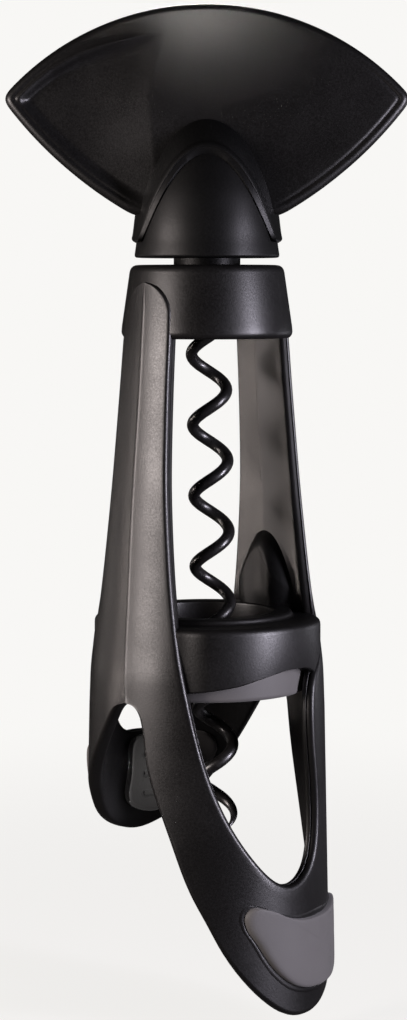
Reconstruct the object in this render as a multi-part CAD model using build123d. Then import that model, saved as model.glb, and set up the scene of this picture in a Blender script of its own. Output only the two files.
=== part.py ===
"""Twist corkscrew with a fan grip, an open two-arm frame and two squeeze jaws.

Millimetres, +Z up along the worm. The origin is on that line, at the lower
edge of the neck ring. Bearings are measured round Z in degrees: 0 is -Y, the
front, and positive turns towards +X, the right. At rest the grip lies along X.
"""
from build123d import *
import math
import os

# Band that the arms and legs are cut from, and how far it stands off the ring
BAND_RADIUS = 22.9
BAND_WALL = 2.6
BAND_PROUD = 0.7

# Neck ring, the part that stands on the bottle
RING_HEIGHT = 12.5
RING_WALL = 2.8
RING_TOP_WALL = 3.0
RING_EDGE_ROUND = 1.2
RIM_RADIUS = 16.4
RIM_RISE = 1.1
CORK_HOLE_RADIUS = 12.8
STOP_DROP = 0.8
STOP_CLEARANCE = 0.2

# Soft liner inside the ring, bored for the bottle's lip
NECK_RADIUS = 15.2
LINER_DROP = 1.6

# Arms: bands that run from the collar over the ring and split into the legs
ARM_BEARING = -48.5
ARM_TOP_RADIUS = 16.9
ARM_SHOULDER_STEP = 1.6
ARM_TOP_HALF_WIDTH = 6.8
ARM_MIDDLE_HALF_WIDTH = 8.1
ARM_SHOULDER_HALF_WIDTH = 11.6
BAND_HALF_WIDTH = 14.8
ARM_LAP = 10.8
ARM_PROUD = 0.35
TONGUE_HALF_WIDTH = 6.6
TONGUE_RISE = 16.2

# Collar that carries the spindle
COLLAR_BOTTOM = 66.5
COLLAR_HEIGHT = 14.2
COLLAR_TOP_RADIUS = 14.9
COLLAR_BOTTOM_RADIUS = 16.7
COLLAR_TOP_WALL = 4.0
COLLAR_BORE_RADIUS = 11.5
COLLAR_EDGE_ROUND = 1.2

# Spindle, washer and clip
SPINDLE_RADIUS = 5.0
RUNNING_GAP = 0.06
WASHER_RADIUS = 6.5
WASHER_THICKNESS = 1.3
END_PLAY = 0.1
CLIP_RADIUS = 8.5
CLIP_THICKNESS = 1.5
CLIP_PLAY = 0.3
SPINDLE_TAIL = 1.0

# Jaws under the ring, each hung on two legs
JAW_TIP_RADIUS = 23.9
SEAM_DROP = 4.0
FRONT_JAW_LENGTH = 61.4
BACK_JAW_LENGTH = 32.6
FRONT_WINDOW_DEPTH = 35.7
BACK_WINDOW_DEPTH = 12.8
WINDOW_ARCH = 4.3
SIDE_BEARING = -42.6
SIDE_APEX_DROP = 1.9
WINDOW_BEARING = 30.0
LEG_BEARING = 0.5
FRONT_TIP_BEARING = 58.0
FRONT_PAD_BEARING = 62.0
BACK_TIP_BEARING = -139.0

# Outlines in the jaws' outer face: bearing, then share of the jaw's length
FRONT_TIP_EDGE = [
    (-0.6, 0.682),
    (7.5, 0.777),
    (19.3, 0.876),
    (31.8, 0.95),
    (43.3, 0.989),
    (54.9, 0.995),
    (66.8, 0.976),
    (80.9, 0.932),
    (93, 0.863),
    (101, 0.79),
    (105, 0.733),
]
BACK_TIP_EDGE = [
    (177.8, 0.71),
    (188, 0.82),
    (206, 0.955),
    (221, 0.99),
    (236, 0.955),
    (252, 0.84),
    (263, 0.71),
]
FRONT_LEG_LEFT_EDGE = [(-33.5, 0.072), (-30.8, 0.202), (-22.7, 0.358), (-14.6, 0.49)]
FRONT_LEG_RIGHT_EDGE = [(129, 0.116), (121, 0.386), (114, 0.636)]
BACK_LEG_LEFT_EDGE = [(-54, 0.2), (-76, 0.52)]
BACK_LEG_RIGHT_EDGE = [(148, 0.17), (161.5, 0.44)]

# Outlines of the windows: bearing, then share of the arch's or the window's depth
WINDOW_CROWN = [(-9, 0.1), (16, 0.4), (44, 1.0), (61, 0.9)]
FRONT_WINDOW_EDGE = [(-0.5, 0.375), (8.3, 0.61), (22.7, 0.85), (43, 1.0), (59, 0.92), (65, 0.74)]
BACK_WINDOW_EDGE = [(8, 0.5), (25, 0.87), (43, 1.0), (57, 0.87), (62, 0.5)]

# Soft pads on the jaws
FINGER_PAD_DEPTH = 0.9
FINGER_PAD_PROUD = 1.1
FINGER_PAD_HALF_WIDTH = 16.4
FINGER_PAD_HEIGHT = 16.8
FINGER_PAD_DIP = 3.7
FINGER_PAD_MARGIN = 5.3
GRIP_PAD_THICKNESS = 1.4
GRIP_PAD_HALF_WIDTH = 9.9
GRIP_PAD_HEIGHT = 15.8
GRIP_PAD_MARGIN = 3.3
GRIP_PAD_LEAN = 18.0
GRIP_SLOT_WIDTH = 1.2
GRIP_SLOT_DEPTH = 0.7
GRIP_SLOTS = 3
GRIP_SLOT_SHARE = 0.62

# Outline of a grip pad: share of its half width, then share of its height
GRIP_PAD_EDGE = [
    (0.99, 0.45),
    (0.95, 0.78),
    (0.76, 0.98),
    (0.0, 1.0),
    (-0.72, 0.98),
    (-0.98, 0.8),
    (-0.74, 0.5),
    (-0.2, 0.18),
    (0.35, 0.0),
    (0.8, 0.08),
]

# Worm
WORM_RADIUS = 3.35
WIRE_RADIUS = 1.15
WORM_PITCH = 13.8
WORM_TIP_DROP = 29.0
WORM_SET_DEPTH = 12.0
WORM_LEFT_HEIGHT = 49.5
POINT_ANGLE = 24.0

# Grip and hub
GRIP_HALF_LENGTH = 40.4
GRIP_TOP = 131.4
GRIP_END_HEIGHT = 112.8
GRIP_FOOT = 90.2
GRIP_FOOT_HALF_WIDTH = 14.0
GRIP_LOWER_BULGE = 1.9
GRIP_THICKNESS = 11.0
GRIP_EDGE_ROUND = 2.6
GRIP_CORNER_ROUND = 4.0
HUB_RADIUS = 14.1
HUB_SKIRT_HEIGHT = 3.4
HUB_CONE_RADIUS = 13.1
HUB_CONE_HEIGHT = 23.0
DOME_WALL = 1.3
DOME_HEIGHT = 25.4
ARCH_HALF_WIDTH = 12.6
ARCH_HEIGHT = 17.8

# Shares of a half width or a height that shape the round outlines
PAD_WAIST_SHARE = 0.72
CONE_WAIST = (0.91, 0.36)
CONE_SHOULDER = (0.62, 0.76)
ARCH_WAIST_SHARE = 0.73
ARCH_LEAN = (-0.2, 1)

# Levels and radii that follow from the sizes above
RING_RADIUS = BAND_RADIUS - BAND_PROUD
ARM_SHOULDER_RADIUS = BAND_RADIUS - ARM_SHOULDER_STEP
RING_SEAT = RING_HEIGHT - RING_TOP_WALL
RIM_TOP = RING_HEIGHT + RIM_RISE
STOP_LEVEL = RING_SEAT - STOP_DROP
STOP_RADIUS = NECK_RADIUS - STOP_CLEARANCE
TONGUE_TOP = RING_HEIGHT + TONGUE_RISE
COLLAR_TOP = COLLAR_BOTTOM + COLLAR_HEIGHT
ARM_TOP = COLLAR_BOTTOM + ARM_LAP
CLIP_TOP = COLLAR_TOP - COLLAR_TOP_WALL - CLIP_PLAY
CLIP_BOTTOM = CLIP_TOP - CLIP_THICKNESS
SPINDLE_BOTTOM = CLIP_BOTTOM - SPINDLE_TAIL
HUB_BOTTOM = COLLAR_TOP + WASHER_THICKNESS + END_PLAY
SKIRT_TOP = HUB_BOTTOM + HUB_SKIRT_HEIGHT
LINER_RADIUS = RING_RADIUS - RING_WALL
SEAM = -SEAM_DROP
FRONT_PAD_BOTTOM = -FRONT_JAW_LENGTH + FINGER_PAD_MARGIN
BACK_PAD_BOTTOM = -BACK_JAW_LENGTH + FINGER_PAD_MARGIN
REACH = 2 * RING_RADIUS


def facing(bearing):
    """Upright plane through Z that looks outwards along a bearing."""
    angle = math.radians(bearing)
    across = (math.cos(angle), math.sin(angle), 0)
    outward = (math.sin(angle), -math.cos(angle), 0)
    return Plane(origin=(0, 0, 0), x_dir=across, z_dir=outward)


def outline(*curves):
    """Flat face inside a closed run of curves."""
    return make_face([edge for curve in curves for edge in curve.edges()])


def prism(bearing, *curves):
    """Bar with a closed outline in the view along a bearing, from Z outwards."""
    return extrude(facing(bearing) * outline(*curves), REACH)


def turned(*corners):
    """Solid of revolution about Z from (radius, height) corners."""
    return revolve(Plane.XZ * make_face(Polyline(*corners, close=True)), Axis.Z)


def seen(view, *points):
    """Points (bearing, height) of the jaws' outer face, in the view along a bearing."""
    return [(BAND_RADIUS * math.sin(math.radians(b - view)), z) for b, z in points]


def jaw_shell(inner, outer):
    """Flared tube under the seam, between two offsets from the jaws' outer face."""
    return turned(
        (BAND_RADIUS + inner, SEAM),
        (BAND_RADIUS + outer, SEAM),
        (JAW_TIP_RADIUS + outer, -FRONT_JAW_LENGTH),
        (JAW_TIP_RADIUS + inner, -FRONT_JAW_LENGTH),
    )


def window(turn, depth, sweep):
    """Opening between the ring and a jaw: arched above, round below.

    sweep gives its lower edge as (bearing, share of the depth) pairs.
    """
    view = WINDOW_BEARING
    arch = Spline(*seen(view, *[(b, s * WINDOW_ARCH) for b, s in WINDOW_CROWN]))
    low = Spline(arch @ 0, *seen(view, *[(b, -s * depth) for b, s in sweep]))
    return prism(view + turn, arch, low, Line(low @ 1, arch @ 1))


def front_window():
    return window(0, FRONT_WINDOW_DEPTH, FRONT_WINDOW_EDGE)


def back_window():
    return window(180, BACK_WINDOW_DEPTH, BACK_WINDOW_EDGE)


def side_cut(turn, right_edge, right_depth, left_edge, left_depth):
    """Gap between the two jaws' legs, round at the top and spreading downwards.

    Each edge runs from the apex as (bearing, share of its jaw's length) pairs.
    """
    view = SIDE_BEARING + turn
    low = -FRONT_JAW_LENGTH - SEAM_DROP
    left = seen(view, *[(b, -s * left_depth) for b, s in reversed(left_edge)])
    right = seen(view, *[(b, -s * right_depth) for b, s in right_edge])
    edge = Spline(*left, (0, -SIDE_APEX_DROP), *right)
    start, end = edge @ 0, edge @ 1
    return prism(view, edge, Polyline(end, (end.X, low), (start.X, low), start))


def left_side_cut():
    front_leg = FRONT_LEG_LEFT_EDGE
    bearing, share = BACK_TIP_EDGE[-1]
    back_leg = [*BACK_LEG_LEFT_EDGE, (bearing - 360, share)]
    return side_cut(0, front_leg, FRONT_JAW_LENGTH, back_leg, BACK_JAW_LENGTH)


def right_side_cut():
    back_leg = [*BACK_LEG_RIGHT_EDGE, BACK_TIP_EDGE[0]]
    front_leg = [*FRONT_LEG_RIGHT_EDGE, FRONT_TIP_EDGE[-1]]
    return side_cut(180, back_leg, BACK_JAW_LENGTH, front_leg, FRONT_JAW_LENGTH)


def tip_cut(view, length, edge):
    """What lies below a jaw's rounded tip; edge is (bearing, share of the length)."""
    low = -FRONT_JAW_LENGTH - SEAM_DROP
    curve = Spline(*seen(view, *[(b, -s * length) for b, s in edge]))
    start, end = curve @ 0, curve @ 1
    corners = Polyline(end, (REACH, end.Y), (REACH, low), (-REACH, low), (-REACH, start.Y), start)
    return prism(view, curve, corners)


def leg_cut():
    """What lies left of the front jaw's long leg, from the side gap down to the tip."""
    low = -FRONT_JAW_LENGTH - SEAM_DROP
    edge = [*FRONT_LEG_LEFT_EDGE[1:], *FRONT_TIP_EDGE[:4]]
    curve = Spline(*seen(LEG_BEARING, *[(b, -s * FRONT_JAW_LENGTH) for b, s in edge]))
    start, end = curve @ 0, curve @ 1
    corners = Polyline(end, (end.X, low), (-REACH, low), (-REACH, start.Y), start)
    return prism(LEG_BEARING, curve, corners)


def arm_strip(turn):
    """One arm in its own view: a band with a round head that widens to the seam."""
    shoulder = ARM_SHOULDER_HALF_WIDTH
    head = ARM_TOP - ARM_TOP_HALF_WIDTH
    middle = (COLLAR_BOTTOM + RING_HEIGHT) / 2
    side = Spline(
        (BAND_HALF_WIDTH, SEAM),
        (shoulder, RING_HEIGHT),
        (ARM_MIDDLE_HALF_WIDTH, middle),
        (ARM_TOP_HALF_WIDTH, head),
        tangents=[(0, 1), (0, 1)],
    )
    crown = ThreePointArc(side @ 1, (0, ARM_TOP), (-ARM_TOP_HALF_WIDTH, head))
    other = mirror(side, Plane.YZ)
    return prism(ARM_BEARING + turn, side, crown, other, Line(other @ 0, side @ 0))


def band_shell():
    """Wall that the arms are cut from: straight flare, then upright at the ring."""
    lap = ARM_LAP / COLLAR_HEIGHT
    top_radius = COLLAR_BOTTOM_RADIUS + (COLLAR_TOP_RADIUS - COLLAR_BOTTOM_RADIUS) * lap + ARM_PROUD
    outer = [(BAND_RADIUS, SEAM), (BAND_RADIUS, RING_SEAT), (ARM_SHOULDER_RADIUS, RING_HEIGHT)]
    outer += [(ARM_TOP_RADIUS, COLLAR_BOTTOM), (top_radius, ARM_TOP)]
    inner = [(r - BAND_WALL, z) for r, z in reversed(outer)]
    return turned(*outer, *inner)


def neck_ring():
    """The band round the bottle's lip, with its stop and the rim round the cork hole."""
    ring = turned(
        (LINER_RADIUS, 0),
        (RING_RADIUS, 0),
        (RING_RADIUS, RING_HEIGHT),
        (RIM_RADIUS, RING_HEIGHT),
        (RIM_RADIUS, RIM_TOP),
        (CORK_HOLE_RADIUS, RIM_TOP),
        (CORK_HOLE_RADIUS, STOP_LEVEL),
        (STOP_RADIUS, STOP_LEVEL),
        (STOP_RADIUS, RING_SEAT),
        (LINER_RADIUS, RING_SEAT),
    )
    crown = ring.edges().filter_by(GeomType.CIRCLE).filter_by_position(Axis.Z, RING_HEIGHT, RING_HEIGHT)
    return fillet(crown.sort_by(SortBy.RADIUS)[-1], RING_EDGE_ROUND)


def tongue(turn):
    """Round-topped guide on an arm's inner face, upright above the ring's rim."""
    level = RING_HEIGHT - RING_TOP_WALL / 2
    middle = ARM_SHOULDER_RADIUS - BAND_WALL / 2
    lean = (ARM_SHOULDER_RADIUS - ARM_TOP_RADIUS) / (COLLAR_BOTTOM - RING_HEIGHT)
    block = turned(
        (RIM_RADIUS, level),
        (middle, level),
        (middle, RING_HEIGHT),
        (middle - lean * TONGUE_RISE, TONGUE_TOP),
        (RIM_RADIUS, TONGUE_TOP),
    )
    wide = TONGUE_HALF_WIDTH
    spring = TONGUE_TOP - wide
    crown = ThreePointArc((wide, spring), (0, TONGUE_TOP), (-wide, spring))
    foot = Polyline((-wide, spring), (-wide, level), (wide, level), (wide, spring))
    return block & prism(ARM_BEARING + turn, crown, foot)


def leg_roots():
    """Short tube under the ring, down to the seam, that the legs' roots are cut from."""
    return turned(
        (BAND_RADIUS - BAND_WALL, SEAM),
        (BAND_RADIUS, SEAM),
        (BAND_RADIUS, RING_EDGE_ROUND),
        (BAND_RADIUS - BAND_WALL, RING_EDGE_ROUND),
    )


def arm_frame():
    """Ring, arms and tongues, one moulding, cut by the windows down to the seam."""
    bands = band_shell() & (arm_strip(0) + arm_strip(180))
    frame = neck_ring() + bands + leg_roots() + tongue(0) + tongue(180)
    for cut in (front_window(), back_window(), left_side_cut(), right_side_cut()):
        frame -= cut
    return frame


def neck_liner():
    """Soft sleeve under the ring's stop, a little longer than the ring."""
    return turned(
        (NECK_RADIUS, -LINER_DROP),
        (LINER_RADIUS, -LINER_DROP),
        (LINER_RADIUS, RING_SEAT),
        (NECK_RADIUS, RING_SEAT),
    )


def top_collar():
    """Tapered cap with the spindle bore, pocketed for the heads of the arms."""
    cap = turned(
        (COLLAR_BORE_RADIUS, COLLAR_BOTTOM),
        (COLLAR_BOTTOM_RADIUS, COLLAR_BOTTOM),
        (COLLAR_TOP_RADIUS, COLLAR_TOP),
        (SPINDLE_RADIUS + RUNNING_GAP, COLLAR_TOP),
        (SPINDLE_RADIUS + RUNNING_GAP, COLLAR_TOP - COLLAR_TOP_WALL),
        (COLLAR_BORE_RADIUS, COLLAR_TOP - COLLAR_TOP_WALL),
    )
    rims = cap.edges().filter_by(GeomType.CIRCLE)
    outer = [e for e in rims if e.radius > COLLAR_TOP_RADIUS - COLLAR_EDGE_ROUND]
    cap = fillet(outer, COLLAR_EDGE_ROUND)
    return cap - (band_shell() & (arm_strip(0) + arm_strip(180)))


def thrust_washer():
    return turned(
        (SPINDLE_RADIUS + RUNNING_GAP, COLLAR_TOP),
        (WASHER_RADIUS, COLLAR_TOP),
        (WASHER_RADIUS, COLLAR_TOP + WASHER_THICKNESS),
        (SPINDLE_RADIUS + RUNNING_GAP, COLLAR_TOP + WASHER_THICKNESS),
    )


def retaining_clip():
    """Snap ring on the spindle, under the collar's top wall."""
    return turned(
        (SPINDLE_RADIUS, CLIP_BOTTOM),
        (CLIP_RADIUS, CLIP_BOTTOM),
        (CLIP_RADIUS, CLIP_TOP),
        (SPINDLE_RADIUS, CLIP_TOP),
    )


def jaws():
    """Front and back jaw: the flared tube under the seam, cut into its two halves."""
    tube = jaw_shell(-BAND_WALL, 0)
    for cut in (front_window(), back_window(), left_side_cut(), right_side_cut()):
        tube -= cut
    tube -= tip_cut(FRONT_TIP_BEARING, FRONT_JAW_LENGTH, FRONT_TIP_EDGE[2:])
    tube -= tip_cut(BACK_TIP_BEARING, BACK_JAW_LENGTH, BACK_TIP_EDGE)
    front, back = tube.solids().sort_by(lambda s: s.bounding_box().min.Z)
    front = front - leg_cut() - pad_pocket(FRONT_PAD_BEARING, FRONT_PAD_BOTTOM)
    back = back - pad_pocket(BACK_TIP_BEARING, BACK_PAD_BOTTOM)
    return front, back


def pad_outline(bearing, bottom):
    """Shield outline of a finger pad, with a dipped top edge and a round foot."""
    top = bottom + FINGER_PAD_HEIGHT
    wide = FINGER_PAD_HALF_WIDTH
    brow = Spline((-wide, top), (0, top - FINGER_PAD_DIP), (wide, top))
    foot = Spline(
        (wide, top),
        (PAD_WAIST_SHARE * wide, bottom + FINGER_PAD_HEIGHT / 2),
        (0, bottom),
        (-PAD_WAIST_SHARE * wide, bottom + FINGER_PAD_HEIGHT / 2),
        (-wide, top),
    )
    return prism(bearing, brow, foot)


def pad_pocket(bearing, bottom):
    """Room for a finger pad in a jaw's outer face."""
    return jaw_shell(-FINGER_PAD_DEPTH, BAND_WALL) & pad_outline(bearing, bottom)


def finger_pad(bearing, bottom):
    """Soft pad let into a jaw's outer face and standing a little proud of it."""
    return jaw_shell(-FINGER_PAD_DEPTH, FINGER_PAD_PROUD) & pad_outline(bearing, bottom)


def grip_pad(bearing, bottom):
    """Soft pad on a jaw's inner face, towards its long leg, slotted to hold the glass."""
    view = bearing - GRIP_PAD_LEAN
    edge = [(u * GRIP_PAD_HALF_WIDTH, bottom + v * GRIP_PAD_HEIGHT) for u, v in GRIP_PAD_EDGE]
    inner = -BAND_WALL - GRIP_PAD_THICKNESS
    pad = jaw_shell(inner, -BAND_WALL) & prism(view, Spline(*edge, periodic=True))
    groove = jaw_shell(inner - GRIP_PAD_THICKNESS, inner + GRIP_SLOT_DEPTH)
    step = GRIP_PAD_HEIGHT / (GRIP_SLOTS + 1)
    half = GRIP_SLOT_SHARE * GRIP_PAD_HALF_WIDTH
    for index in range(GRIP_SLOTS):
        low = bottom + step * (index + 1) - GRIP_SLOT_WIDTH / 2
        high = low + GRIP_SLOT_WIDTH
        slot = Polyline((-half, low), (half, low), (half, high), (-half, high), close=True)
        pad -= groove & prism(view, slot)
    return pad


def worm():
    """Right-hand wire helix with an open middle and a slanted, sharp point."""
    height = SPINDLE_BOTTOM + WORM_SET_DEPTH + WORM_TIP_DROP
    turn = 180 - 360 * (WORM_LEFT_HEIGHT + WORM_TIP_DROP) / WORM_PITCH
    path = Helix(WORM_PITCH, height, WORM_RADIUS)
    start, along = path @ 0, path % 0
    wire = sweep(Plane(start, z_dir=along) * Circle(WIRE_RADIUS), path, is_frenet=True)
    slant = math.radians(POINT_ANGLE)
    outward = Vector(1, 0, 0)
    normal = outward * math.cos(slant) - along * math.sin(slant)
    knife = Plane(start - outward * WIRE_RADIUS, z_dir=normal)
    wedge = 8 * WIRE_RADIUS
    wire -= knife * Box(wedge, wedge, wedge, align=(Align.CENTER, Align.CENTER, Align.MIN))
    return Pos(0, 0, -WORM_TIP_DROP) * Rot(0, 0, turn) * wire


def hub_profile(grow, height):
    """Half outline of the hub's cone, or of the dome that stands off it by grow."""
    radius = HUB_CONE_RADIUS + grow
    return Spline(
        (radius, SKIRT_TOP),
        (CONE_WAIST[0] * radius, SKIRT_TOP + CONE_WAIST[1] * height),
        (CONE_SHOULDER[0] * radius, SKIRT_TOP + CONE_SHOULDER[1] * height),
        (0, SKIRT_TOP + height),
        tangents=[(0, 1), (-1, 0)],
    )


def round_top(grow, height):
    """Solid of revolution under hub_profile, standing on the skirt."""
    side = hub_profile(grow, height)
    close = Polyline(side @ 1, (0, SKIRT_TOP), side @ 0)
    return revolve(Plane.XZ * outline(side, close), Axis.Z)


def handle_hub():
    """Cone, skirt and spindle in one piece, moulded round the worm's top end."""
    stem = turned(
        (0, SPINDLE_BOTTOM),
        (SPINDLE_RADIUS, SPINDLE_BOTTOM),
        (SPINDLE_RADIUS, HUB_BOTTOM),
        (HUB_RADIUS, HUB_BOTTOM),
        (HUB_RADIUS, SKIRT_TOP),
        (0, SKIRT_TOP),
    )
    return stem + round_top(0, HUB_CONE_HEIGHT)


def grip_blank():
    """Fan-shaped blade with round edges."""
    end = (GRIP_HALF_LENGTH, GRIP_END_HEIGHT)
    foot = (GRIP_FOOT_HALF_WIDTH, GRIP_FOOT)
    length = math.dist(end, foot)
    out = ((end[1] - foot[1]) / length, -(end[0] - foot[0]) / length)
    sag = tuple((a + b) / 2 + GRIP_LOWER_BULGE * n for a, b, n in zip(end, foot, out))
    crown = ThreePointArc((-end[0], end[1]), (0, GRIP_TOP), end)
    right = ThreePointArc(end, sag, foot)
    left = mirror(right, Plane.YZ)
    base = Line(left @ 1, right @ 1)
    face = outline(crown, right, base, left)
    corners = face.vertices().sort_by(Axis.Y)[-2:]
    face = fillet(corners, GRIP_CORNER_ROUND)
    blade = extrude(Plane.XZ * face, GRIP_THICKNESS / 2, both=True)
    return fillet(blade.faces().filter_by(Axis.Y).edges(), GRIP_EDGE_ROUND)


def arch_cut():
    """Pointed arch through the dome that shows the hub's cone."""
    wide = ARCH_HALF_WIDTH
    side = Spline(
        (wide, SKIRT_TOP),
        (ARCH_WAIST_SHARE * wide, SKIRT_TOP + ARCH_HEIGHT / 2),
        (0, SKIRT_TOP + ARCH_HEIGHT),
        tangents=[ARCH_LEAN, (-1, 0)],
    )
    other = mirror(side, Plane.YZ)
    face = outline(side, other, Line(other @ 0, side @ 0))
    return extrude(Plane.XZ * face, REACH, both=True)


def grip():
    """Blade and dome, hollowed for the hub."""
    return grip_blank() + round_top(DOME_WALL, DOME_HEIGHT) - handle_hub() - arch_cut()


def pieces():
    """Every piece of the corkscrew under its own name."""
    front_jaw, back_jaw = jaws()
    shells = grip()
    return {
        "arm_frame": arm_frame(),
        "neck_liner": neck_liner(),
        "top_collar": top_collar(),
        "thrust_washer": thrust_washer(),
        "front_jaw": front_jaw,
        "front_finger_pad": finger_pad(FRONT_PAD_BEARING, FRONT_PAD_BOTTOM),
        "front_grip_pad": grip_pad(FRONT_TIP_BEARING, -FRONT_JAW_LENGTH + GRIP_PAD_MARGIN),
        "back_jaw": back_jaw,
        "back_finger_pad": finger_pad(BACK_TIP_BEARING, BACK_PAD_BOTTOM),
        "back_grip_pad": grip_pad(BACK_TIP_BEARING, -BACK_JAW_LENGTH + GRIP_PAD_MARGIN),
        "retaining_clip": retaining_clip(),
        "worm": worm(),
        "handle_hub": handle_hub(),
        "grip_front_shell": split(shells, Plane.XZ, keep=Keep.TOP),
        "grip_rear_shell": split(shells, Plane.XZ, keep=Keep.BOTTOM),
    }


os.makedirs("parts", exist_ok=True)
for name, piece in pieces().items():
    export_step(piece, os.path.join("parts", name + ".step"))
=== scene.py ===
"""Dress for the twist corkscrew: moulded nylon frame, jaws, grip, pads and worm.

Lengths in the code are millimetres and become metres when a mesh is laid.
Bearings are degrees round Z: 0 is the front, -Y, and positive turns to +X.
"""

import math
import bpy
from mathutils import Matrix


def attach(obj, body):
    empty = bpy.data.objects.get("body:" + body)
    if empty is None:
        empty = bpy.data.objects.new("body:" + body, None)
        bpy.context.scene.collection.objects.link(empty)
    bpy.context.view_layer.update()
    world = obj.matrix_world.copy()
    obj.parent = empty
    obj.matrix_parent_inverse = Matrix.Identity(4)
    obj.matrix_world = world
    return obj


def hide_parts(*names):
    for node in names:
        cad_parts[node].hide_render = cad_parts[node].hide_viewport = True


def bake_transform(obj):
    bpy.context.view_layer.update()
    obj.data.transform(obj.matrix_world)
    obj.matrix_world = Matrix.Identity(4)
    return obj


bl_info = {
    "name": "Twist corkscrew",
    "version": (1, 0, 0),
    "blender": (4, 5, 0),
    "location": "View3D > Sidebar > Corkscrew",
    "description": "Lays the moulded surfaces, finishes and stage of a twist corkscrew over its frame",
    "category": "Add Mesh",
}

import bmesh
import bpy
import numpy as np

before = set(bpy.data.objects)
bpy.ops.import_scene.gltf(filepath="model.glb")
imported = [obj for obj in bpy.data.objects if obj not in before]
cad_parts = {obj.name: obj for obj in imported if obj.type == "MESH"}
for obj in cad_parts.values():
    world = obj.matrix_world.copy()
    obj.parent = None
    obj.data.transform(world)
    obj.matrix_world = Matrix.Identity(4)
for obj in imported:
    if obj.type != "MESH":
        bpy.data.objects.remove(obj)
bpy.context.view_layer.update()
MM = 0.001
CREASE_ANGLE = 38
ARC_STEPS = 6
# Edge lines are (bearing, height), and a degree on the wall is about 0.4 mm
EDGE_SCALE = (0.4, 1.0)

# Levels, radii and wall shared by the pieces
WALL = 2.6
RING_RADIUS = 22.2
RING_TOP = 12.5
RIM_TOP = 13.6
RIM_RADIUS = 16.4
TONGUE_RADIUS = 13.2
CORK_HOLE_RADIUS = 12.8
STOP_LEVEL = 8.7
SEAT_LEVEL = 9.5
LINER_RADIUS = 19.4
NECK_RADIUS = 15.2
LINER_FOOT = -1.6
ARM_BEARING = -48.5
ARM_HEAD = 77.3
ARM_HEAD_RADIUS = 6.8
COLLAR_FOOT = 66.5
COLLAR_TOP = 80.7
BORE_RADIUS = 5.06
SPINDLE_RADIUS = 5
SPINDLE_FOOT = 73.9
HUB_FOOT = 82.1
SKIRT_TOP = 85.5
CONE_RADIUS = 13.75
CONE_TOP = 108.4
BELL_RADIUS = 14.4
DOME_TOP = 110.9
ARCH_TOP = 103.3
GRIP_MIDDLE = 110.0
SEAM_RISE = 0.06
RIM_ROUND = 1.35
# Just under the front jaw's tip when it is squeezed
FLOOR_LEVEL = -64.0
FLOOR_HALF = 3000
# Strength of the world as the object sees it
ROOM_LIGHT = 0.02

# Outer radius of arms and legs by level, and half the width of an arm by level
BAND_LEVELS = (-61.4, -4, 3, 10, 16, 24, COLLAR_FOOT, ARM_HEAD)
BAND_RADII = (23.9, 22.9, 22.65, 21.85, 21.15, 20.43, 17.05, 16.0)
ARM_LEVELS = (-4, 2, 6, 12.5, 20, 27, 39.5, 48, 70.5)
ARM_HALF_WIDTHS = (14.8, 13.9, 13.0, 11.6, 10.3, 9.35, 8.1, 7.6, 6.8)

# Camera: distance, eye level and focal length, with the picture's middle and height in pixels
CAMERA_DISTANCE = 487.5
EYE_LEVEL = 76.8
FOCAL_PIXELS = 2500
MIDDLE_PIXELS = (-3.5, -225)
PICTURE_HEIGHT = 1020
SENSOR_WIDTH = 36

# Lamps: name, spot and target in mm, width and height in mm, watts, colour, spread in degrees
LAMPS = (
    ("box_left", (-431, -210, 95), (0, 0, 50), (250, 190), 2.75, "#fff3ef", 180),
    ("strip_right", (388, -206, 60), (0, 0, 30), (60, 230), 2.6, "#f4efff", 180),
    ("snoot_side", (-480, 70, -16), (10, 12, 40), (100, 90), 0.0042, "#fff0e8", 9),
    ("back_left", (-393, 275, 6), (0, 0, 10), (160, 120), 0.06, "#fff6f0", 180),
    ("back_right", (393, 275, 6), (0, 0, 10), (160, 120), 0.12, "#f6f4ff", 180),
    ("snoot_low", (-124, -464, -5), (-13, 14, -21), (8, 8), 0.00045, "#ffffff", 3),
    ("snoot_rear", (0, 330, 250), (0, 3, 130), (60, 40), 0.0016, "#fff8f2", 10),
    ("snoot_above", (0, -330, 250), (0, -3, 136), (20, 16), 0.00092, "#fff8f2", 7),
)


def linear(text):
    """Linear RGB of an sRGB hex colour: the usual 2.4 power with its straight toe."""
    value = np.array([int(text[i : i + 2], 16) for i in (1, 3, 5)]) / 255
    bent = np.where(value <= 0.04045, value / 12.92, ((value + 0.055) / 1.055) ** 2.4)
    return tuple(float(v) for v in bent)


def add_node(tree, kind, settings=None, inputs=None, links=None):
    """Adds one node: attributes from settings, socket values from inputs, sockets fed by links."""
    node = tree.nodes.new(kind)
    for name, value in (settings or {}).items():
        setattr(node, name, value)
    for name, value in (inputs or {}).items():
        node.inputs[name].default_value = value
    for name, source in (links or {}).items():
        tree.links.new(source, node.inputs[name])
    return node


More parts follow.
